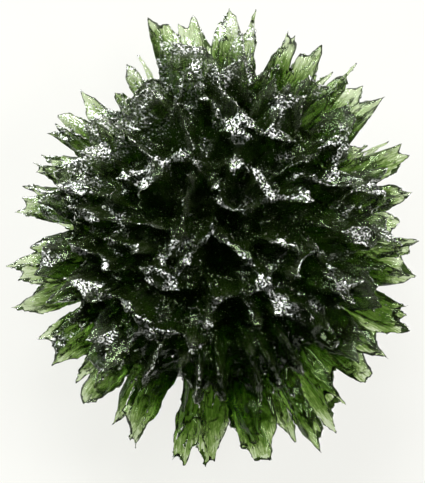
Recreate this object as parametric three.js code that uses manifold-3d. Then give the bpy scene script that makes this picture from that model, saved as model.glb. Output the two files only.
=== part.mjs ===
// A hedgehog moldavite: one piece of natural green glass that groundwater has etched into blades.
//
// A flattened core carries three kinds of outgrowth, all fused to it:
//   rim blades  flat forked leaves that stand out level round the rim and make the outline from above,
//   tiers       rows of shorter leaves that slant up and down just behind the rim,
//   ridges      upright walls that cover the upper and the lower face and lean outwards. Some have a knife edge and
//               some a broad worn crown, which is what is left of the skin.
// The tips and crests of all of them lie on one flattened ellipsoid, the skin of the glass before it was etched.
//
// Units are millimetres, +Z is up and the stone lies flat. The origin is under the middle of its outline, on the
// surface that it rests on. Bearings are in degrees, anticlockwise from +X as seen from above.

import * as THREE from "three";
import { mergeVertices } from "three/addons/utils/BufferGeometryUtils.js";
import Module from "manifold-3d";

const wasm = await Module();
wasm.setup();

// ---- Driving dimensions -------------------------------------------------------------------------------------------

const SKIN = new THREE.Vector3(18.6, 20.6, 9.8); // half axes of the ellipsoid that the tips reach
const CORE = new THREE.Vector3(12.7, 13.1, 5.6); // half axes of the solid core inside the blades
const CORE_DETAIL = 2;
const REST_PLANE = -8.5; // height of the plane that the lowest tips are worn down to, from the core's centre
const SEED = 20;

const ROOT_RADIUS = 10.2; // where a rim or tier blade starts, inside the core
const ROOT_INSET = 0.8; // how far its ridge starts behind that
const ROOT_SPREAD = 2.2; // how far its root reaches past its notches, under the blades beside it, in degrees
const ROOT_HEFT = 1.9; // its half thickness there
const ROOT_SHARE = 0.4; // height of its root, as a share of its tips' height
const FORK_SHARE = 0.55; // how far out its ridge runs before it forks to the tips
const GROOVE_SHARE = 0.55; // where the groove between two tips is, from the fork to the notch
const GROOVE_HEFT = 0.3; // half thickness in that groove, as a share of the fork's

const LEVEL_SPREAD = 2.0; // how far apart the levels of the rim blades are, against the table below

// Rows of shorter blades behind the rim: [how many, reach as a share of the skin's radius, height of the tips].
const UPPER_TIERS = [[19, 0.91, 4.1], [13, 0.76, 6.5]];
const FLANK = [229, 321]; // from this bearing to this one, long fins run down to the rim in place of the upper rows
const LOWER_TIERS = [[12, 0.88, -4.4], [7, 0.7, -6.4]];
const NOTCH_RADIUS = 13.2; // the deepest notches in the rim, which the rows behind it leave clear
const NOTCH_WINDOW = 2.6; // and how far to either side of a notch they keep back, in degrees

// A fin on the flank: [share of the skin's radius, how far its crest is below the skin], from its top to its foot.
const FIN_CREST = [[0.58, 0.3], [0.74, 0.9], [0.9, 3.0]];
const FIN_COUNT = 9;
const FIN_HALF_WIDTH = 0.14;

const RIDGE_DEPTH = 5.2; // from a ridge's crest to its root, which is inside the core
const RIDGE_LEAN = 2.0; // how much further than square to the skin a ridge leans outwards
const RIDGE_DIP = 1.2; // how deep its crest dips between two peaks
const RIDGE_NO_DIP = 2.3; // peaks closer than this have no dip between them
const RIDGE_WAIST = 0.3; // half width at a dip, as a share of that at a peak
const RIDGE_JITTER = 0.35; // how uneven the crest is
// How a ridge's section grows downwards: [share of the depth, growth of its half width].
const RIDGE_LEVELS = [[0, 0], [0.3, 0.35], [1, 2.1]];

// Each rim blade: [level of its tips, half thickness, then its outline as [bearing, radius] from one notch to the next].
const RIM_BLADES = [
  [0.8, 1.3, [353, 16.8], [355, 18.1], [356.8, 17.8], [359, 18.7], [361, 16.6]],
  [-1.0, 1.01, [360, 15.6], [363, 16.5], [365, 17.3], [366.5, 16.8], [369, 15.9]],
  [1.3, 1.45, [367.8, 15.9], [371, 17.6], [373, 18.6], [375.5, 17.4], [378, 15.6]],
  [0.0, 1.3, [377.5, 15.0], [379, 17.5], [382.5, 19.4], [385, 18.5], [386.5, 19.2], [387.6, 16.8], [389, 15.2]],
  [-0.6, 0.72, [387, 14.8], [388.5, 18.3], [390, 14.8]],
  [-1.4, 0.87, [389, 14.6], [391, 16.6], [394.6, 15.0]],
  [1.0, 1.3, [393.8, 15.0], [397.5, 18.1], [399.5, 20.1], [401.2, 18.8], [403.5, 17.6]],
  [0.0, 1.16, [401.6, 17.7], [403.4, 18.6], [405.5, 19.4], [407, 18.6], [408.5, 18.0]],
  [1.4, 1.16, [407.6, 18.0], [409.5, 18.8], [411, 20.5], [412.5, 18.0], [414, 16.4]],
  [-1.4, 0.87, [413, 16.6], [414.5, 18.9], [416, 17.8], [417.5, 17.0]],
  [0.5, 1.3, [416.5, 17.0], [418.6, 18.6], [420.5, 20.4], [422.2, 18.6], [424.5, 18.6], [427, 16.4]],
  [1.0, 1.45, [425, 16.8], [427, 19.0], [428.5, 19.9], [429.3, 19.2], [430.4, 20.0], [432.5, 17.4], [435, 14.8]],
  [0.6, 1.16, [434.5, 14.8], [437, 17.6], [439.5, 21.2], [441, 19.6], [442, 18.0]],
  [0.0, 1.45, [441, 17.6], [443, 19.5], [446, 21.0], [448, 20.0], [450.8, 17.0]],
  [-1.0, 1.16, [450, 17.0], [453, 18.8], [455, 20.6], [457, 19.2], [459.3, 19.9], [460.5, 18.5]],
  [1.2, 1.45, [459, 18.4], [462, 19.8], [464.4, 19.9], [466.6, 20.9], [468, 17.6], [471, 14.8]],
  [0.0, 0.72, [470.5, 14.6], [472, 18.0], [473.2, 14.6]],
  [0.6, 1.16, [472.5, 14.8], [474.5, 16.5], [476.7, 17.7], [479, 16.7], [480.5, 14.2]],
  [-0.6, 1.16, [479.5, 14.2], [482, 15.6], [484.5, 16.2], [487.5, 14.2]],
  [-1.0, 1.01, [487, 14.2], [489, 15.6], [492, 18.3], [494.5, 16.8], [497.5, 15.2]],
  [-1.4, 1.01, [496.5, 15.4], [499, 17.6], [502, 18.2], [503.6, 17.0]],
  [1.2, 1.59, [501.5, 15.4], [504.3, 17.8], [506, 16.9], [508, 17.9], [510, 14.2]],
  [-0.8, 1.01, [509.5, 14.2], [512, 15.8], [515, 17.5], [516.4, 16.6]],
  [0.6, 1.3, [513.5, 15.0], [517.3, 17.9], [518.7, 17.0], [520, 17.3], [521.6, 14.8]],
  [1.2, 1.45, [521, 14.8], [523.2, 17.0], [525, 18.0], [527.5, 16.2]],
  [-0.5, 1.16, [525.8, 16.0], [528.5, 17.9], [530.5, 17.3], [532.8, 18.4], [534.2, 15.8], [536, 13.2]],
  [1.0, 1.45, [537.5, 13.2], [540, 15.6], [543, 16.8], [545.5, 15.8]],
  [0.2, 1.3, [543.4, 16.1], [545.6, 17.6], [548, 19.1], [550.2, 17.8], [552.6, 18.4], [556, 16.2]],
  [-0.6, 1.16, [555, 16.2], [557.3, 17.4], [559.2, 19.7], [561.5, 18.2], [564, 17.2], [565.5, 13.6]],
  [0.5, 1.45, [567.4, 13.6], [568.2, 17.2], [569.8, 18.7], [572.3, 17.6], [575.5, 17.9], [578.3, 18.9], [581, 16.8], [584.4, 15.6]],
  [-1.1, 1.01, [582.6, 16.2], [584.6, 17.4], [586.6, 18.5], [588.8, 16.8]],
  [0.6, 1.45, [587.5, 16.9], [589.8, 18.8], [592, 19.3], [594.6, 18.5], [598.5, 15.8]],
  [-0.6, 1.16, [598, 15.8], [599.8, 17.2], [601.5, 19.6], [603.8, 18.2]],
  [0.6, 1.45, [602, 18.0], [605, 18.6], [607.5, 20.2], [608.5, 19.7], [609.7, 20.5], [612, 17.2], [615.4, 13.4]],
  [0.0, 1.45, [617.2, 13.4], [617.9, 17.4], [619.4, 20.8], [620.7, 20.3], [622.5, 21.1], [624.5, 19.3], [626, 18.9]],
  [-0.9, 1.3, [623.8, 18.9], [626, 20.1], [628.2, 20.9], [629.4, 20.4], [630.7, 20.5], [633, 18.6], [635.8, 16.9]],
  [0.7, 1.59, [634.8, 17.0], [637.3, 19.3], [638.6, 19.3], [640.7, 20.8], [642.4, 20.6], [644.3, 21.0], [646.5, 19.3], [649.4, 17.5]],
  [-0.8, 1.16, [648, 17.8], [650, 18.8], [651.8, 20.2], [653.8, 18.6]],
  [0.5, 1.45, [652.6, 18.6], [654.8, 20.1], [656.6, 21.9], [658.5, 20.6], [660.2, 19.7]],
  [-0.5, 1.3, [659, 19.6], [662.3, 21.2], [664.5, 19.4], [666.5, 18.6], [668, 19.6], [669.4, 17.4], [673.4, 16.2]],
  [-0.4, 1.16, [673, 16.2], [676, 19.3], [677.6, 19.2], [679.4, 19.3], [681, 17.9], [683, 17.1]],
  [0.6, 1.3, [681.4, 17.1], [683.5, 18.2], [685.4, 19.6], [687.2, 17.8], [690.8, 16.9]],
  [0.6, 1.45, [689.4, 17.0], [692, 18.9], [694.3, 20.0], [696, 18.6], [698, 19.1], [699.3, 18.0], [700.4, 18.8], [702.8, 15.1]],
  [-0.4, 1.45, [702.2, 15.1], [706, 17.3], [709.3, 19.0], [711.4, 17.8], [714.4, 17.2]],
];

// The ridges of the upper face: [half width of the crown, then the peaks along its crest as [x, y]].
const UPPER_RIDGES = [
  // round the middle
  [0.53, [-2.6, -2.3], [-0.1, 0.6], [2.9, -1.6]],
  [0.34, [0.6, 3.2], [2.9, 2.3], [5.0, 3.3]],
  [0.46, [-1.4, 6.6], [0.2, 4.6]],
  [0.1, [-2.2, 5.6], [-2.7, 3.2], [-3.1, 0.8]],
  [0.81, [-5.9, -3.2], [-3.9, -4.3]],
  [1.03, [4.6, -4.2], [6.3, -6.3]],
  [0.46, [-0.4, -8.0], [0.2, -5.6], [2.8, -5.2]],
  [0.34, [2.9, -5.4], [4.0, -8.0]],
  // above it
  [0.57, [1.2, 9.8], [2.5, 11.0], [3.4, 9.9]],
  [0.92, [2.3, 9.2], [2.0, 6.6]],
  [0.57, [3.9, 5.6], [4.9, 4.2]],
  [0.69, [-8.1, 5.7], [-5.6, 6.9], [-2.8, 7.2]],
  [0.57, [-6.4, 4.6], [-5.0, 5.8]],
  [0.1, [0.2, 15.2], [0.8, 13.0], [2.2, 11.4]],
  [0.1, [4.5, 9.4], [5.7, 10.9], [7.0, 14.0]],
  [0.1, [-3.4, 12.4], [-2.5, 10.2], [-1.9, 8.2]],
  [0.1, [-8.7, 10.0], [-6.0, 7.4]],
  [0.57, [5.2, 9.4], [6.8, 9.0]],
  [0.46, [-2.3, 14.6], [-0.9, 12.4]],
  // right of it
  [0.57, [5.5, 3.8], [8.4, 3.6]],
  [0.34, [9.0, 5.3], [12.4, 4.9], [15.4, 4.0]],
  [0.34, [7.6, -3.4], [9.2, -0.8], [10.8, -2.9]],
  [0.81, [12.3, 0.4], [14.3, -0.2]],
  [0.57, [11.0, -4.3], [12.3, -5.5]],
  [0.34, [5.6, -0.4], [7.2, -0.9]],
  [0.46, [8.2, 7.0], [11.4, 8.8]],
  // below it
  [0.57, [7.3, -6.4], [8.7, -7.7]],
  [0.69, [9.4, -8.4], [10.9, -9.5]],
  [0.46, [-4.2, -8.7], [-2.1, -9.8]],
  [0.46, [-6.7, -7.4], [-5.6, -8.9]],
  [0.46, [-10.2, -5.3], [-8.0, -6.4]],
  // left of it
  [0.46, [-9.4, -0.3], [-7.1, -1.1]],
  [0.46, [-12.6, -1.0], [-9.7, -2.6]],
  [0.34, [-4.2, -1.6], [-3.0, 0.2]],
  [0.46, [-13.7, 4.7], [-11.7, 4.2], [-9.5, 3.5]],
  [0.46, [-12.7, 2.4], [-10.8, 1.8]],
  [0.1, [-8.2, 1.4], [-5.4, 1.0]],
];

// The stone rests on these ridges of its lower face, which are worn flat.
const RESTING_RIDGES = [
  [0.9, [6.7, 4.8], [8.3, 6.0]],
  [0.8, [-7.4, 6.6], [-5.8, 7.8]],
  [0.9, [-8.0, -5.4], [-6.8, -7.0]],
  [0.8, [5.0, -7.4], [6.6, -8.6]],
];
// Its other ridges stand in rings: [radius as a share of the skin's, how many].
const LOWER_RINGS = [[0.1, 2], [0.32, 5], [0.54, 8]];
const LOWER_LIMIT = 7.9; // their crests end this far below the core's centre at most, short of the resting plane

// ---- Helpers ------------------------------------------------------------------------------------------------------

// A repeatable random number from 0 to 1.
let randomState = SEED;
function random() {
  randomState = (randomState + 0x6d2b79f5) | 0;
  let t = Math.imul(randomState ^ (randomState >>> 15), 1 | randomState);
  t = (t + Math.imul(t ^ (t >>> 7), 61 | t)) ^ t;
  return ((t ^ (t >>> 14)) >>> 0) / 4294967296;
}
const jitter = (amount) => (random() * 2 - 1) * amount;

function polar(bearing, radius, z) {
  const a = THREE.MathUtils.degToRad(bearing);
  return new THREE.Vector3(Math.cos(a) * radius, Math.sin(a) * radius, z);
}

const skinRadius = (bearing) => {
  const a = THREE.MathUtils.degToRad(bearing);
  return 1 / Math.hypot(Math.cos(a) / SKIN.x, Math.sin(a) / SKIN.y);
};

// How far the rim reaches on a bearing.
function rimRadius(bearing) {
  let radius = 0;
  for (const [, , ...outline] of RIM_BLADES) {
    for (let i = 0; i + 1 < outline.length; i++) {
      const width = outline[i + 1][0] - outline[i][0];
      const share = THREE.MathUtils.euclideanModulo(bearing - outline[i][0], 360) / width;
      if (share <= 1) radius = Math.max(radius, THREE.MathUtils.lerp(outline[i][1], outline[i + 1][1], share));
    }
  }
  return radius || NOTCH_RADIUS;
}

// How far an outgrowth behind the rim may reach, so that it doesn't fill a notch.
function clearRadius(bearing) {
  const nearby = [-1, -0.5, 0, 0.5, 1].map((share) => rimRadius(bearing + share * NOTCH_WINDOW));
  return Math.min(...nearby) - 0.3;
}

// Whether a bearing is on the flank, where fins stand.
const onFlank = (bearing) => THREE.MathUtils.euclideanModulo(bearing - FLANK[0], 360) < FLANK[1] - FLANK[0];

// A closed body from its points and triangles, as a solid. The triangles only have to agree with each other.
function solidFrom(points, triangles) {
  const geometry = new THREE.BufferGeometry().setFromPoints(points);
  geometry.setIndex(triangles.flat());
  return solidOf(geometry);
}

function solidOf(geometry) {
  geometry.deleteAttribute("normal");
  geometry.deleteAttribute("uv");
  const merged = mergeVertices(geometry, 1e-4);
  const vertProperties = merged.attributes.position.array;
  const triVerts = new Uint32Array(merged.index.array);
  const made = new wasm.Manifold(new wasm.Mesh({ numProp: 3, vertProperties, triVerts }));
  if (made.volume() > 0) return made;
  return new wasm.Manifold(new wasm.Mesh({ numProp: 3, vertProperties, triVerts: triVerts.reverse() }));
}

function geometryOf(solid) {
  const mesh = solid.getMesh();
  const geometry = new THREE.BufferGeometry();
  geometry.setAttribute("position", new THREE.BufferAttribute(mesh.vertProperties, 3));
  geometry.setIndex(new THREE.BufferAttribute(mesh.triVerts, 1));
  return geometry;
}

// Joined roots can seal a small hollow between them. This keeps only the shell with the most triangles, the outer one.
function outerShell(geometry) {
  const index = geometry.index.array;
  const shellOf = Int32Array.from({ length: geometry.attributes.position.count }, (_, i) => i);
  const rootOf = (i) => {
    while (shellOf[i] !== i) i = shellOf[i] = shellOf[shellOf[i]];
    return i;
  };
  const sizes = new Map();
  for (let i = 0; i < index.length; i += 3) {
    shellOf[rootOf(index[i + 1])] = rootOf(index[i]);
    shellOf[rootOf(index[i + 2])] = rootOf(index[i]);
  }
  for (const vertex of index) sizes.set(rootOf(vertex), (sizes.get(rootOf(vertex)) ?? 0) + 1);
  const [outer] = [...sizes].sort((a, b) => b[1] - a[1])[0];
  geometry.setIndex([...index].filter((vertex) => rootOf(vertex) === outer));
  return geometry;
}

// ---- The outgrowths -----------------------------------------------------------------------------------------------

// A forked leaf. Its edge is sharp all round; a ridge on each face runs from the root to a fork and on to each tip, and
// the faces sink between the tips. outline is [bearing, radius] from notch to notch, with dips between the tips.
function blade({ outline, rootRadius = ROOT_RADIUS, tipLevel, heft, twist }) {
  const first = outline[0][0];
  const last = outline.at(-1)[0];
  const middle = (first + last) / 2;
  const longest = Math.max(...outline.map(([, radius]) => radius));
  const at = (bearing, radius, lift = 0) => {
    const out = (radius - rootRadius) / (longest - rootRadius);
    const aside = THREE.MathUtils.degToRad(bearing - middle) * radius;
    return polar(bearing, radius, tipLevel * THREE.MathUtils.lerp(ROOT_SHARE, 1, out) + aside * twist + lift);
  };

  const inner = outline.slice(1, -1);
  const tips = inner.filter((_, i) => i % 2 === 0 || inner.length < 3);
  const reach = tips.reduce((sum, [, radius]) => sum + radius, 0) / tips.length;
  const lean = tips.reduce((sum, [bearing]) => sum + bearing, 0) / tips.length;
  const fork = [(lean + middle) / 2, THREE.MathUtils.lerp(rootRadius, reach, FORK_SHARE)];

  const edge = [[first - ROOT_SPREAD, rootRadius], ...outline, [last + ROOT_SPREAD, rootRadius]];
  const points = edge.map(([bearing, radius]) => at(bearing, radius));
  const triangles = [];
  const roots = [];
  for (const side of [1, -1]) {
    const root = points.push(at(middle, rootRadius - ROOT_INSET, side * ROOT_HEFT)) - 1;
    const centre = points.push(at(fork[0], fork[1], side * heft)) - 1;
    const face = (a, b, c) => triangles.push(side > 0 ? [a, b, c] : [a, c, b]);
    face(root, centre, 0);
    face(root, edge.length - 1, centre);
    for (let i = 0; i + 1 < edge.length; i++) {
      const isNotch = (k) => k > 1 && k < edge.length - 2 && edge[k][1] < edge[k - 1][1] && edge[k][1] < edge[k + 1][1];
      if (isNotch(i)) continue; // done with the edge before it
      if (!isNotch(i + 1)) {
        face(centre, i + 1, i);
        continue;
      }
      const [bearing, radius] = edge[i + 1];
      const sunk = [
        THREE.MathUtils.lerp(fork[0], bearing, GROOVE_SHARE),
        THREE.MathUtils.lerp(fork[1], radius, GROOVE_SHARE),
      ];
      const groove = points.push(at(sunk[0], sunk[1], side * heft * GROOVE_HEFT)) - 1;
      face(centre, groove, i);
      face(groove, i + 1, i);
      face(groove, i + 2, i + 1);
      face(groove, centre, i + 2);
    }
    roots.push(root);
  }
  triangles.push([0, roots[1], roots[0]], [edge.length - 1, roots[0], roots[1]]);
  return solidFrom(points, triangles);
}

// A row of the same leaves behind the rim, which slant up or down.
function tier([count, share, tipLevel]) {
  const made = [];
  const span = (360 / count) * 0.44;
  for (let k = 0; k < count; k++) {
    const bearing = ((k + 0.5) / count) * 360 + tipLevel * 7 + jitter(span * 0.4);
    if (tipLevel > 0 && onFlank(bearing)) continue;
    const reach = skinRadius(bearing) * share + jitter(0.6);
    const outline = [
      [bearing - span, reach - 3.4 + jitter(0.4)],
      [bearing - span * (0.5 + jitter(0.15)), reach + jitter(0.8)],
      [bearing + jitter(span * 0.2), reach - 1.2 + jitter(0.4)],
      [bearing + span * (0.5 + jitter(0.15)), reach + jitter(0.8)],
      [bearing + span, reach - 3.4 + jitter(0.4)],
    ];
    for (const point of outline) point[1] = Math.min(point[1], clearRadius(point[0]));
    made.push(blade({
      outline,
      rootRadius: reach * 0.5,
      tipLevel: tipLevel + jitter(0.5),
      heft: 1.15,
      twist: jitter(0.4),
    }));
  }
  return made;
}

// A ridge that stands on the skin and leans outwards. Its crest has the given peaks, with a dip between each two, and
// its crown is as wide as the first number says. side is 1 on the upper face and -1 on the lower one.
function ridge([halfWidth, ...peaks], side, { limit = SKIN.z, noDip = false } = {}) {
  const places = [];
  peaks.forEach(([x, y, dip = 0], i) => {
    const [lastX, lastY] = peaks[Math.max(0, i - 1)];
    if (noDip === false && Math.hypot(x - lastX, y - lastY) > RIDGE_NO_DIP) {
      places.push({ x: (lastX + x) / 2, y: (lastY + y) / 2, dip: RIDGE_DIP, waist: RIDGE_WAIST });
    }
    places.push({ x, y, dip, waist: 1 });
  });

  const stations = places.map(({ x, y, dip, waist }, i) => {
    const height = Math.sqrt(Math.max(0.02, 1 - (x / SKIN.x) ** 2 - (y / SKIN.y) ** 2));
    const crest = new THREE.Vector3(x, y, side * Math.min(SKIN.z * height, limit));
    const outward = new THREE.Vector3((x / SKIN.x ** 2) * RIDGE_LEAN, (y / SKIN.y ** 2) * RIDGE_LEAN, (side * height) / SKIN.z);
    outward.normalize();
    const before = places[Math.max(0, i - 1)];
    const after = places[Math.min(places.length - 1, i + 1)];
    const along = new THREE.Vector3(after.x - before.x, after.y - before.y, 0).projectOnPlane(outward).normalize();
    const across = new THREE.Vector3().crossVectors(outward, along);
    crest.addScaledVector(outward, -dip);
    return { crest, outward, along, across, halfWidth: halfWidth * waist };
  });

  // Each level is a loop: up the left of the crest, round its end, back down the right and round its start.
  const n = stations.length;
  const around = 2 * n + 2;
  const points = [];
  const triangles = [];
  for (const [share, growth] of RIDGE_LEVELS) {
    const loop = [];
    for (const turn of [1, -1]) {
      const run = turn > 0 ? stations : [...stations].reverse();
      for (const { crest, outward, across, halfWidth: half } of run) {
        const aside = turn * (half + growth);
        loop.push(crest.clone().addScaledVector(outward, -share * RIDGE_DEPTH).addScaledVector(across, aside));
      }
      const { crest, outward, along, halfWidth: half } = run.at(-1);
      const beyond = turn * (half + growth + 0.2);
      loop.push(crest.clone().addScaledVector(outward, -share * RIDGE_DEPTH).addScaledVector(along, beyond));
    }
    if (share === 0) loop.forEach((point, k) => point.addScaledVector(stations[0].outward, jitter(RIDGE_JITTER)));
    points.push(...loop);
  }
  for (let level = 0; level + 1 < RIDGE_LEVELS.length; level++) {
    for (let k = 0; k < around; k++) {
      const next = (k + 1) % around;
      const a = level * around;
      const b = a + around;
      triangles.push([a + k, b + k, b + next], [a + k, b + next, a + next]);
    }
  }
  const cap = (base, flip) => {
    const face = (a, b, c) => triangles.push(flip ? [base + a, base + c, base + b] : [base + a, base + b, base + c]);
    for (let i = 0; i + 1 < n; i++) {
      const right = 2 * n - i;
      face(i, i + 1, right);
      face(i + 1, right - 1, right);
    }
    face(n - 1, n, n + 1);
    face(0, 2 * n, 2 * n + 1);
  };
  cap(0, false);
  cap((RIDGE_LEVELS.length - 1) * around, true);
  return solidFrom(points, triangles);
}

// ---- Assembly -----------------------------------------------------------------------------------------------------

function core() {
  const geometry = new THREE.IcosahedronGeometry(1, CORE_DETAIL);
  geometry.scale(CORE.x, CORE.y, CORE.z);
  return solidOf(geometry);
}

function rimBlades() {
  return RIM_BLADES.map(([level, heft, ...outline]) => {
    const tipLevel = level * LEVEL_SPREAD;
    return blade({ outline, tipLevel, heft, twist: jitter(0.25) });
  });
}

function flankFins() {
  const made = [];
  const spacing = (FLANK[1] - FLANK[0]) / FIN_COUNT;
  for (let k = 0; k < FIN_COUNT; k++) {
    const bearing = FLANK[0] + (k + 0.5) * spacing + jitter(spacing * 0.25);
    const sweep = jitter(2.5);
    const crest = FIN_CREST.map(([share, depth], i) => {
      const turned = bearing + sweep * (i - 1) * 0.5;
      const spot = polar(turned, Math.min(skinRadius(turned) * (share + jitter(0.03)), clearRadius(turned)), 0);
      return [spot.x, spot.y, depth + jitter(0.2)];
    });
    made.push(ridge([FIN_HALF_WIDTH, ...crest], 1, { noDip: true }));
  }
  return made;
}

function lowerRidges() {
  const made = RESTING_RIDGES.map((row) => ridge(row, -1));
  const near = (spot) => RESTING_RIDGES.some(([, [x, y]]) => Math.hypot(spot.x - x, spot.y - y) < 3.2);
  for (const [share, count] of LOWER_RINGS) {
    for (let k = 0; k < count; k++) {
      const bearing = ((k + share * 3) / count) * 360 + jitter(90 / count);
      const spot = polar(bearing, skinRadius(bearing) * (share + jitter(0.03)), 0);
      const half = polar(bearing + jitter(80), 1.2 + jitter(0.4), 0);
      const row = [0.3 + jitter(0.2), [spot.x - half.x, spot.y - half.y], [spot.x + half.x, spot.y + half.y]];
      if (!near(spot)) made.push(ridge(row, -1, { limit: LOWER_LIMIT }));
    }
  }
  return made;
}

function stone() {
  const tiers = [...UPPER_TIERS, ...LOWER_TIERS].flatMap(tier);
  const upperRidges = UPPER_RIDGES.map((row) => ridge(row, 1));
  const grown = [core(), ...rimBlades(), ...tiers, ...upperRidges, ...flankFins(), ...lowerRidges()];
  const whole = grown.reduce((sum, next) => sum.add(next));
  const depth = 20;
  const ground = new THREE.BoxGeometry(60, 60, depth).translate(0, 0, REST_PLANE - depth / 2);
  return outerShell(geometryOf(whole.subtract(solidOf(ground))));
}

const geometry = stone();
geometry.computeBoundingBox();
const { min, max } = geometry.boundingBox;

const glass = new THREE.MeshStandardMaterial({ color: 0x2f4a1c, roughness: 0.15, metalness: 0 });
const moldavite = new THREE.Mesh(geometry, glass);
moldavite.name = "moldavite";
moldavite.position.set(-(min.x + max.x) / 2, -(min.y + max.y) / 2, -min.z);

const group = new THREE.Group();
group.add(moldavite);

export default group;
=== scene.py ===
"""A hedgehog moldavite on a pale, softly lit floor: one piece of green natural glass, etched into blades.

The stone's mesh grows out of the CAD solid. Geometry nodes round its grooves into the smooth U that etching
leaves, make its blades ragged, etch hollows along them and pit what is left of the old skin. The material is
clear green glass: nearly black where it is thick and pale where it is thin, smooth in the grooves, with tiny
white chips on the crests.
"""

import bpy
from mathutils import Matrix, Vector


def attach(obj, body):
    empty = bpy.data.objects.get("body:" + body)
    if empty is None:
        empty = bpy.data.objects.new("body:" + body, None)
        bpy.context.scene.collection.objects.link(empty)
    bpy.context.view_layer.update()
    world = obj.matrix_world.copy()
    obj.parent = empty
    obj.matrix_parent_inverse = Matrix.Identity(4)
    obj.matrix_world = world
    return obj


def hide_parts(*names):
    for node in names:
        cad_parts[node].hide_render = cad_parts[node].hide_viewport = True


MM = 0.001

# The stone's form, in metres
STONE_CENTRE = (-0.0003, 0.0000, 0.0085)  # where its blades grow from
SKIN_SIZE = (0.0186, 0.0206, 0.0098)  # half axes of the ellipsoid that its tips reach
GRID_STEP = 0.13 * MM  # the even mesh that the etching works on
EDGE_THICKNESS = 0.24 * MM  # what is added to the glass so that its sharpest edges stay whole
FEWEST_POINTS = 1000  # a loose part with fewer is a speck or a bubble
TRIANGLES = 195000  # the finished mesh stays under this

# What etching does to it. A spread counts steps of the mesh.
GROOVE_PASSES = 3
GROOVE_SPREAD = 20
SWAY_LENGTH = 2.4 * MM
SWAY = 0.8 * MM
SCALLOP_WIDTH = 2.2 * MM
SCALLOP_DEPTH = 0.45 * MM
SCALLOP_STRETCH = 0.45  # how much the pattern changes along a blade: the less, the longer the hollows
FLUTE_WIDTH = 0.9 * MM
FLUTE_DEPTH = 0.2 * MM
FLUTE_STRETCH = 0.12
PIT_WIDTH = 0.7 * MM
PIT_DEPTH = 0.14 * MM
DISH_STEEPNESS = 2.6
DEEPEST_SHARE = 0.25  # of the glass behind a hollow
SKIN_SHIELD = 0.85  # how much shallower hollows are where the old skin is left

# Where the old skin is left. Each pair is where it starts and where it is whole.
SKIN_REACH = (0.66, 0.9)  # of the way out to the tips
SKIN_FACING = (0.2, 0.7)  # how squarely the surface faces outwards
CREST_RISE = (0.03 * MM, 0.12 * MM)  # how far the surface stands up from what is around it
CREST_SPREAD = 5
MOST_GLASS = 3 * MM  # thicker glass counts as this thick
RAY_START = 0.02 * MM  # how far below the surface its thickness is measured from

# What the glass lets through
THIN_GLASS = (0.69, 0.79, 0.54, 1)
MIDDLING_GLASS = (0.27, 0.39, 0.12, 1)
THICK_GLASS = (0.08, 0.165, 0.02, 1)
GLASS_BODY = (0.39, 0.50, 0.17, 1)
GLASS_DENSITY = 600.0
GLASS_IOR = 1.49
GLASS_GLINT = (0.22, 0.29, 0.17, 1)
THIN_TO_THICK = (0.3 * MM, 2.2 * MM)

# Patterns in the glass, in lumps to the metre
STREAKS = 5000.0
STREAK_STRETCH = 0.08
STREAK_RELIEF = 0.035 * MM
CLOUDS = 260.0

# The old skin and its chips, in lumps to the metre. A chip is where the pattern, from 0 to 1, passes a limit.
SKIN_PATCHES = 450.0
CHIPS = 4800.0
CHIP_LIMIT = 0.525  # where the old skin is whole
STRAY_CHIP_LIMIT = 0.69  # where it is etched away
CHIP_EDGE = 0.02
CHIP_RELIEF = 0.14 * MM
# The lower side is etched clean of old skin, and there the glass tint is also darkened as painted shade.
LOWER_SIDE = (0.35, -0.94, 0.0)  # the side that is etched clean of old skin
LOWER_REACH = (8.5 * MM, 11.5 * MM)
UPPER_LEFT = (-0.65, 0.75, 0.0)  # the side that keeps most of it
UPPER_LEFT_REACH = (7 * MM, 13 * MM)

# The floor
FLOOR_SHADE = (0.055, 0.065)
# The glow is dimmed under the stone's middle as a painted shadow.
FLOOR_GLOW = (0.2, 0.81)  # under the stone's middle, and in the open
SHADED_FLOOR = (0.3, 0.74)  # where the one gives way to the other, on the way to the rim

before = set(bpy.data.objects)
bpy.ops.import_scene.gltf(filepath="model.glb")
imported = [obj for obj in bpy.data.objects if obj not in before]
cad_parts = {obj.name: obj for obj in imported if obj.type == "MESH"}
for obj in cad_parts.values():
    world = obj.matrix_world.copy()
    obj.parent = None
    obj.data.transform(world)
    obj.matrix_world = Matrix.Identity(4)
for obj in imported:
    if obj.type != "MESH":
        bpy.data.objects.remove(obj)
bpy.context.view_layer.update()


# ---- Node helpers ------------------------------------------------------------------------------------------


def add_node(tree, kind, inputs=None, **settings):
    """A new node with its settings and its inputs, each a value or the socket that feeds it."""
    node = tree.nodes.new(kind)
    for name, value in settings.items():
        setattr(node, name, value)
    for key, value in (inputs or {}).items():
        if isinstance(value, bpy.types.NodeSocket):
            tree.links.new(value, node.inputs[key])
        else:
            node.inputs[key].default_value = value
    return node


def maths(tree, operation, a, b=0.0, clamp=False):
    return add_node(tree, "ShaderNodeMath", {0: a, 1: b}, operation=operation, use_clamp=clamp).outputs[0]


def vectors(tree, operation, a, b=(0, 0, 0), scale=None):
    """The result of a vector sum. Dot product and length give a number."""
    inputs = {0: a, 1: b}
    if scale is not None:
        inputs["Scale"] = scale
    node = add_node(tree, "ShaderNodeVectorMath", inputs, operation=operation)
    return node.outputs["Value" if operation in ("DOT_PRODUCT", "LENGTH") else "Vector"]


def ramp(tree, value, low, high, start=0.0, end=1.0):
    """value's place between low and high, eased, as a number from start to end."""
    inputs = {"Value": value, "From Min": low, "From Max": high, "To Min": start, "To Max": end}
    return add_node(tree, "ShaderNodeMapRange", inputs, interpolation_type="SMOOTHSTEP").outputs["Result"]


def blend(tree, amount, first, second):
    """A colour between two, which is the second where amount is 1."""
    inputs = {"Factor": amount, 6: first, 7: second}
    return add_node(tree, "ShaderNodeMix", inputs, data_type="RGBA").outputs[2]


# ---- The stone's shape -------------------------------------------------------------------------------------


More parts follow.
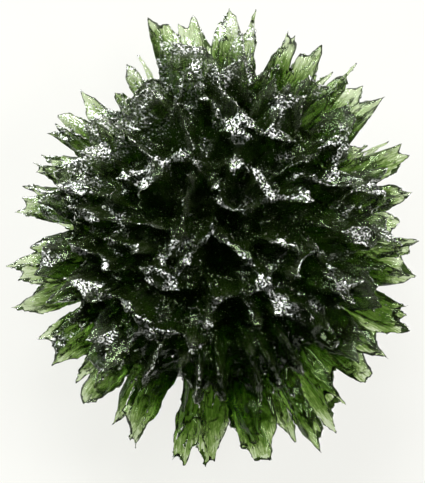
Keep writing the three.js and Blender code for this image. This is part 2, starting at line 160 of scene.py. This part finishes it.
def dishes(tree, place, width):
    """1 in the middle of each hollow, falling steeply to 0 at the sharp walls between hollows."""
    inputs = {"Vector": place, "Scale": maths(tree, "DIVIDE", 1.0, width), "Randomness": 1.0}
    distance = add_node(tree, "ShaderNodeTexVoronoi", inputs, feature="F1").outputs["Distance"]
    risen = maths(tree, "MULTIPLY", maths(tree, "MULTIPLY", distance, distance), DISH_STEEPNESS)
    return maths(tree, "SUBTRACT", 1.0, risen, clamp=True)


def move(tree, geometry, offset):
    """Moves the surface, but never below the floor."""
    position = add_node(tree, "GeometryNodeInputPosition").outputs["Position"]
    above = vectors(tree, "MAXIMUM", vectors(tree, "ADD", position, offset), (-1, -1, 0))
    return add_node(tree, "GeometryNodeSetPosition", {"Geometry": geometry, "Position": above}).outputs[0]


def push(tree, geometry, amount):
    """Moves the surface out of the glass, or into it where the amount is negative."""
    normal = add_node(tree, "GeometryNodeInputNormal").outputs["Normal"]
    return move(tree, geometry, vectors(tree, "SCALE", normal, scale=amount))


def keep(tree, geometry, name, value):
    """Stores a number on each point, and gives the geometry and the stored number."""
    inputs = {"Geometry": geometry, "Name": name, "Value": value}
    node = add_node(tree, "GeometryNodeStoreNamedAttribute", inputs, data_type="FLOAT", domain="POINT")
    stored = add_node(tree, "GeometryNodeInputNamedAttribute", {"Name": name}, data_type="FLOAT")
    return node.outputs[0], stored.outputs[0]


def softened(tree, value, steps, kind="FLOAT"):
    """A value blended with its neighbours' values, this many mesh steps out."""
    inputs = {"Value": value, "Iterations": steps}
    return add_node(tree, "GeometryNodeBlurAttribute", inputs, data_type=kind).outputs["Value"]


def rise(tree, position, normal, spread):
    """How far the surface stands up from what is around it."""
    around = softened(tree, position, spread, "FLOAT_VECTOR")
    return vectors(tree, "DOT_PRODUCT", vectors(tree, "SUBTRACT", position, around), normal)


def even_mesh(tree, geometry, step, edge):
    """The same form in an even mesh, with some thickness left at its knife edges."""
    inputs = {"Mesh": geometry, "Voxel Size": step, "Band Width": 3}
    grid = add_node(tree, "GeometryNodeMeshToSDFGrid", inputs)
    inputs = {"Grid": grid.outputs[0], "Threshold": maths(tree, "MULTIPLY", edge, 0.5)}
    return add_node(tree, "GeometryNodeGridToMesh", inputs).outputs["Mesh"]


def without_specks(tree, geometry, fewest):
    """Takes out specks and bubbles: whatever is loose from the stone and has fewer points than this."""
    island = add_node(tree, "GeometryNodeInputMeshIsland").outputs["Island Index"]
    inputs = {"Value": 1.0, "Group ID": island}
    count = add_node(tree, "GeometryNodeAccumulateField", inputs, data_type="FLOAT", domain="POINT")
    speck = maths(tree, "LESS_THAN", count.outputs["Total"], fewest)
    inputs = {"Geometry": geometry, "Selection": speck}
    return add_node(tree, "GeometryNodeDeleteGeometry", inputs, domain="POINT").outputs[0]


def round_grooves(tree, geometry, passes, spread):
    """Fills the bottom of each groove to a smooth U and leaves the crests sharp."""
    start = add_node(tree, "GeometryNodeRepeatInput", {"Iterations": passes})
    end = add_node(tree, "GeometryNodeRepeatOutput")
    start.pair_with_output(end)
    tree.links.new(geometry, start.inputs["Geometry"])
    position = add_node(tree, "GeometryNodeInputPosition").outputs["Position"]
    normal = add_node(tree, "GeometryNodeInputNormal").outputs["Normal"]
    hollow = maths(tree, "MULTIPLY", rise(tree, position, normal, spread), -1.0)
    pushed = push(tree, start.outputs["Geometry"], maths(tree, "MAXIMUM", hollow, 0.0))
    tree.links.new(pushed, end.inputs["Geometry"])
    return end.outputs["Geometry"]


def glass_behind(tree, geometry, most):
    """How thick the glass is behind each point, up to a limit."""
    position = add_node(tree, "GeometryNodeInputPosition").outputs["Position"]
    normal = add_node(tree, "GeometryNodeInputNormal").outputs["Normal"]
    start = vectors(tree, "SUBTRACT", position, vectors(tree, "SCALE", normal, scale=RAY_START))
    inputs = {
        "Target Geometry": geometry,
        "Source Position": start,
        "Ray Direction": vectors(tree, "SCALE", normal, scale=-1.0),
        "Ray Length": most,
    }
    ray = add_node(tree, "GeometryNodeRaycast", inputs)
    inputs = {"Switch": ray.outputs["Is Hit"], "False": most, "True": ray.outputs["Hit Distance"]}
    return add_node(tree, "GeometryNodeSwitch", inputs, input_type="FLOAT").outputs[0]


def etching():
    """Geometry nodes that turn the faceted solid into etched glass."""
    tree = bpy.data.node_groups.new("etching", "GeometryNodeTree")
    tree.interface.new_socket("Geometry", in_out="INPUT", socket_type="NodeSocketGeometry")
    for name, kind in (
        ("Grid step", "NodeSocketFloat"),
        ("Edge thickness", "NodeSocketFloat"),
        ("Groove passes", "NodeSocketInt"),
        ("Groove spread", "NodeSocketInt"),
        ("Sway length", "NodeSocketFloat"),
        ("Sway", "NodeSocketFloat"),
        ("Scallop width", "NodeSocketFloat"),
        ("Scallop depth", "NodeSocketFloat"),
        ("Flute width", "NodeSocketFloat"),
        ("Flute depth", "NodeSocketFloat"),
        ("Pit width", "NodeSocketFloat"),
        ("Pit depth", "NodeSocketFloat"),
        ("Centre", "NodeSocketVector"),
        ("Skin size", "NodeSocketVector"),
        ("Material", "NodeSocketMaterial"),
    ):
        tree.interface.new_socket(name, in_out="INPUT", socket_type=kind)
    tree.interface.new_socket("Geometry", in_out="OUTPUT", socket_type="NodeSocketGeometry")
    given = add_node(tree, "NodeGroupInput").outputs

    even = even_mesh(tree, given["Geometry"], given["Grid step"], given["Edge thickness"])
    whole = without_specks(tree, even, FEWEST_POINTS)
    rounded = round_grooves(tree, whole, given["Groove passes"], given["Groove spread"])

    # Where each point is: its direction from the stone's middle, and how close it is to the skin, which is 1.
    position = add_node(tree, "GeometryNodeInputPosition").outputs["Position"]
    normal = add_node(tree, "GeometryNodeInputNormal").outputs["Normal"]
    from_centre = vectors(tree, "SUBTRACT", position, given["Centre"])
    outward = vectors(tree, "DIVIDE", from_centre, given["Skin size"])
    direction = vectors(tree, "NORMALIZE", outward)
    facing = vectors(tree, "DOT_PRODUCT", normal, direction)
    near = ramp(tree, vectors(tree, "LENGTH", outward), *SKIN_REACH)
    left = maths(tree, "MULTIPLY", near, ramp(tree, facing, *SKIN_FACING))
    shape, skin = keep(tree, rounded, "skin", softened(tree, left, 3))
    shape, room = keep(tree, shape, "room", softened(tree, glass_behind(tree, rounded, MOST_GLASS), 4))
    crest = ramp(tree, rise(tree, position, normal, CREST_SPREAD), *CREST_RISE)
    shape, _ = keep(tree, shape, "crest", softened(tree, crest, 1))

    # The blades sway a little, and their edges are ragged.
    turns = maths(tree, "DIVIDE", 1.0, given["Sway length"])
    inputs = {"Vector": position, "Scale": turns, "Detail": 3.0, "Roughness": 0.6}
    swirl = add_node(tree, "ShaderNodeTexNoise", inputs).outputs["Color"]
    sideways = vectors(tree, "SCALE", vectors(tree, "SUBTRACT", swirl, (0.5, 0.5, 0.5)), scale=given["Sway"])
    shape = move(tree, shape, sideways)

    # Hollows run outwards along the blades, so their pattern hardly changes in that direction. They are
    # shallower where the glass is thin, and where the old skin is left.
    shielded = maths(tree, "SUBTRACT", 1.0, maths(tree, "MULTIPLY", skin, SKIN_SHIELD))
    most = maths(tree, "MULTIPLY", maths(tree, "MULTIPLY", room, DEEPEST_SHARE), shielded)
    spread = vectors(tree, "MULTIPLY", direction, given["Skin size"])
    for kind, lengthwise in (("Scallop", SCALLOP_STRETCH), ("Flute", FLUTE_STRETCH)):
        along = vectors(tree, "ADD", spread, vectors(tree, "SCALE", position, scale=lengthwise))
        depth = maths(tree, "MULTIPLY", dishes(tree, along, given[kind + " width"]), given[kind + " depth"])
        depth = maths(tree, "MINIMUM", depth, most)
        shape = push(tree, shape, maths(tree, "MULTIPLY", depth, -1.0))
    pits = maths(tree, "MULTIPLY", dishes(tree, position, given["Pit width"]), given["Pit depth"])
    shape = push(tree, shape, maths(tree, "MULTIPLY", maths(tree, "MULTIPLY", pits, skin), -1.0))

    smooth = add_node(tree, "GeometryNodeSetShadeSmooth", {"Geometry": shape}).outputs[0]
    real = add_node(tree, "GeometryNodeRealizeInstances", {"Geometry": smooth}).outputs[0]
    inputs = {"Geometry": real, "Material": given["Material"]}
    done = add_node(tree, "GeometryNodeSetMaterial", inputs).outputs[0]
    tree.links.new(done, add_node(tree, "NodeGroupOutput").inputs["Geometry"])
    return tree


def set_inputs(modifier, values):
    """Sets the inputs of a geometry nodes modifier by the names they have in its tree."""
    for item in modifier.node_group.interface.items_tree:
        if item.item_type == "SOCKET" and item.in_out == "INPUT" and item.name in values:
            modifier[item.identifier] = values[item.name]


def evaluated_mesh(obj, name):
    bpy.context.view_layer.update()
    depsgraph = bpy.context.evaluated_depsgraph_get()
    mesh = bpy.data.meshes.new_from_object(obj.evaluated_get(depsgraph))
    mesh.name = name
    return mesh


def etched_stone(solid, glass):
    """The finished stone, from a copy of its CAD solid."""
    stone = solid.copy()
    stone.data = solid.data.copy()
    stone.name = "etched_stone"
    stone.parent = None
    bpy.context.scene.collection.objects.link(stone)

    weld = stone.modifiers.new("weld", "WELD")
    weld.merge_threshold = 0.001 * MM
    etch = stone.modifiers.new("etching", "NODES")
    etch.node_group = etching()
    set_inputs(etch, {
        "Grid step": GRID_STEP,
        "Edge thickness": EDGE_THICKNESS,
        "Groove passes": GROOVE_PASSES,
        "Groove spread": GROOVE_SPREAD,
        "Sway length": SWAY_LENGTH,
        "Sway": SWAY,
        "Scallop width": SCALLOP_WIDTH,
        "Scallop depth": SCALLOP_DEPTH,
        "Flute width": FLUTE_WIDTH,
        "Flute depth": FLUTE_DEPTH,
        "Pit width": PIT_WIDTH,
        "Pit depth": PIT_DEPTH,
        "Centre": STONE_CENTRE,
        "Skin size": SKIN_SIZE,
        "Material": glass,
    })
    stone.data = evaluated_mesh(stone, "etched_stone")
    stone.modifiers.clear()

    stone.data.calc_loop_triangles()
    thin = stone.modifiers.new("thin out", "DECIMATE")
    thin.ratio = min(1.0, TRIANGLES / len(stone.data.loop_triangles))
    thin.use_collapse_triangulate = True
    stone.data = evaluated_mesh(stone, "etched_stone")
    stone.modifiers.clear()
    for vertex in stone.data.vertices:  # thinning out can leave a point just below the floor
        vertex.co.z = max(vertex.co.z, 0.0)
    return stone


# ---- Materials ---------------------------------------------------------------------------------------------


def new_material(name):
    material = bpy.data.materials.new(name)
    material.use_nodes = True
    tree = material.node_tree
    shader = tree.nodes["Principled BSDF"]
    return material, tree, shader, tree.nodes["Material Output"]


def outward_direction(tree, place):
    from_centre = vectors(tree, "DIVIDE", vectors(tree, "SUBTRACT", place, STONE_CENTRE), SKIN_SIZE)
    return vectors(tree, "NORMALIZE", from_centre)


def attribute(tree, name):
    return add_node(tree, "ShaderNodeAttribute", attribute_name=name).outputs["Fac"]


def noise(tree, place, scale, detail, roughness=0.5):
    inputs = {"Vector": place, "Scale": scale, "Detail": detail, "Roughness": roughness}
    return add_node(tree, "ShaderNodeTexNoise", inputs).outputs["Fac"]


def flow_streaks(tree, place):
    """Streaks that run outwards through the glass."""
    stretched = vectors(tree, "MULTIPLY", outward_direction(tree, place), SKIN_SIZE)
    along = vectors(tree, "ADD", stretched, vectors(tree, "SCALE", place, scale=STREAK_STRETCH))
    return noise(tree, along, STREAKS, 3.0, 0.7)


def way_to_rim(tree, place):
    """0 at the stone's middle as seen from above, 1 where its rim's tips are."""
    level = vectors(tree, "MULTIPLY", place, (1, 1, 0))
    return vectors(tree, "LENGTH", vectors(tree, "DIVIDE", level, SKIN_SIZE))


def glass_tint(tree, place, streaks, lower):
    """Pale in thin glass, dark green in thick glass, darker on the lower side as painted shade, streaked and
    clouded all over.
    """
    shade = ramp(tree, attribute(tree, "room"), *THIN_TO_THICK, 0.0, 0.75)
    for share in (
        ramp(tree, way_to_rim(tree, place), 0.5, 0.88, 0.3, 0.0),
        ramp(tree, streaks, 0.3, 0.7, 0.45, -0.5),
        ramp(tree, noise(tree, place, CLOUDS, 1.0), 0.35, 0.65, 0.15, -0.25),
        # painted shade: the glass is darker on the lower side
        maths(tree, "MULTIPLY", lower, 0.2),
    ):
        shade = maths(tree, "ADD", shade, share)
    pale = blend(tree, ramp(tree, shade, 0.0, 0.5), THIN_GLASS, MIDDLING_GLASS)
    return blend(tree, ramp(tree, shade, 0.4, 1.0), pale, THICK_GLASS)


def old_skin(tree, place, lower):
    """1 where the old skin is whole, 0 where it is etched away."""
    patch = noise(tree, place, SKIN_PATCHES, 2.0)
    skin = maths(tree, "MULTIPLY", attribute(tree, "skin"), ramp(tree, patch, 0.35, 0.6, 0.2, 1.0))
    crest = maths(tree, "MULTIPLY", attribute(tree, "crest"), 0.5)
    whole = maths(tree, "ADD", ramp(tree, skin, 0.1, 0.8), crest, clamp=True)
    whole = maths(tree, "MULTIPLY", whole, maths(tree, "SUBTRACT", 1.0, lower))
    upper_left = ramp(tree, vectors(tree, "DOT_PRODUCT", place, UPPER_LEFT), *UPPER_LEFT_REACH)
    return maths(tree, "MAXIMUM", whole, maths(tree, "MULTIPLY", upper_left, ramp(tree, patch, 0.35, 0.55)))


def green_glass():
    material, tree, shader, output = new_material("green_glass")
    place = add_node(tree, "ShaderNodeTexCoord").outputs["Object"]
    lower = ramp(tree, vectors(tree, "DOT_PRODUCT", place, LOWER_SIDE), *LOWER_REACH)
    shader.inputs["Transmission Weight"].default_value = 0.98
    shader.inputs["IOR"].default_value = GLASS_IOR
    shader.inputs["Specular Tint"].default_value = GLASS_GLINT
    shader.inputs["Roughness"].default_value = 0.07

    streaks = flow_streaks(tree, place)
    tree.links.new(glass_tint(tree, place, streaks, lower), shader.inputs["Base Color"])
    bump = add_node(tree, "ShaderNodeBump", {"Height": streaks, "Strength": 1.0, "Distance": STREAK_RELIEF})
    tree.links.new(bump.outputs["Normal"], shader.inputs["Normal"])

    # The old skin is covered in tiny white chips. They thin out at its borders.
    skin = old_skin(tree, place, lower)
    chips = noise(tree, place, CHIPS, 2.0, 0.65)
    stray = maths(tree, "ADD", STRAY_CHIP_LIMIT, maths(tree, "MULTIPLY", lower, 0.2))
    limit = ramp(tree, skin, 0.0, 1.0, stray, CHIP_LIMIT)
    chipped = ramp(tree, maths(tree, "SUBTRACT", chips, limit), 0.0, CHIP_EDGE)
    sheen = maths(tree, "MULTIPLY", skin, 0.03)
    tree.links.new(maths(tree, "MAXIMUM", chipped, sheen), shader.inputs["Coat Weight"])
    uneven = add_node(tree, "ShaderNodeBump", {"Height": chips, "Strength": 1.0, "Distance": CHIP_RELIEF})
    tree.links.new(uneven.outputs["Normal"], shader.inputs["Coat Normal"])
    shader.inputs["Coat Roughness"].default_value = 0.36
    shader.inputs["Coat IOR"].default_value = 4.0

    absorb = add_node(tree, "ShaderNodeVolumeAbsorption", {"Color": GLASS_BODY, "Density": GLASS_DENSITY})
    tree.links.new(absorb.outputs["Volume"], output.inputs["Volume"])
    return material


def pale_floor():
    material, tree, shader, output = new_material("pale_floor")
    place = add_node(tree, "ShaderNodeTexCoord").outputs["Object"]
    mottle = noise(tree, place, 30.0, 3.0)
    shade = ramp(tree, mottle, 0.3, 0.7, *FLOOR_SHADE)
    inputs = {"Red": shade, "Green": shade, "Blue": maths(tree, "MULTIPLY", shade, 0.97)}
    colour = add_node(tree, "ShaderNodeCombineColor", inputs)
    tree.links.new(colour.outputs["Color"], shader.inputs["Base Color"])
    shader.inputs["Roughness"].default_value = 0.8
    shader.inputs["Specular IOR Level"].default_value = 0.1
    shader.inputs["Emission Color"].default_value = (1.0, 1.0, 0.955, 1)

    # It glows like lit paper, and its glow is dimmed under the stone's middle as a painted shadow.
    glow = ramp(tree, way_to_rim(tree, place), *SHADED_FLOOR, *FLOOR_GLOW)
    tree.links.new(glow, shader.inputs["Emission Strength"])
    return material


# ---- The scene ---------------------------------------------------------------------------------------------

stone = etched_stone(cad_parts["moldavite"], green_glass())
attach(stone, "root")
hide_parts("moldavite")

bpy.ops.mesh.primitive_plane_add(size=2.0, location=(0, 0, 0))
floor = bpy.context.object
floor.name = "floor"
floor.data.materials.append(pale_floor())


def area_light(name, position, size, power, colour=(1, 1, 1), target=(0, 0, 0.008)):
    """A soft square light that faces the target."""
    data = bpy.data.lights.new(name, "AREA")
    data.size = size
    data.energy = power
    data.color = colour
    light = bpy.data.objects.new(name, data)
    light.location = position
    light.rotation_euler = (Vector(target) - Vector(position)).to_track_quat("-Z", "Y").to_euler()
    bpy.context.scene.collection.objects.link(light)
    return light


area_light("window", (-0.50, 0.44, 0.33), size=0.46, power=9.5, colour=(0.92, 1.0, 0.95))
area_light("lamp", (-0.05, 0.45, 0.33), size=0.26, power=8.5)
area_light("right lamp", (0.42, 0.12, 0.34), size=0.22, power=4.5)

world = bpy.data.worlds.new("room")
world.use_nodes = True
world.node_tree.nodes["Background"].inputs["Color"].default_value = (0.95, 1.0, 0.9, 1)
world.node_tree.nodes["Background"].inputs["Strength"].default_value = 0.03
bpy.context.scene.world = world

# The camera looks straight down from far enough away that the stone's side walls hardly show.
CAMERA_HEIGHT = 0.45
VIEW_ROWS = 483
ROW = 0.0915 * MM  # what one row of the view covers at the rim's level
SENSOR_HEIGHT = 24.0  # in millimetres, as the lens is
camera_data = bpy.data.cameras.new("camera")
camera_data.sensor_fit = "VERTICAL"
camera_data.sensor_height = SENSOR_HEIGHT
camera_data.lens = SENSOR_HEIGHT * (CAMERA_HEIGHT - STONE_CENTRE[2]) / (VIEW_ROWS * ROW)
camera_data.clip_start = 0.01
camera = bpy.data.objects.new("camera", camera_data)
camera.location = (0.0, -0.0004, CAMERA_HEIGHT)
camera.rotation_euler = (0, 0, 0)
bpy.context.scene.collection.objects.link(camera)
bpy.context.scene.camera = camera

bpy.context.scene.view_settings.view_transform = "Standard"
bpy.context.scene.cycles.transmission_bounces = 24
bpy.context.scene.cycles.max_bounces = 32
bpy.context.scene.cycles.sample_clamp_indirect = 2.0
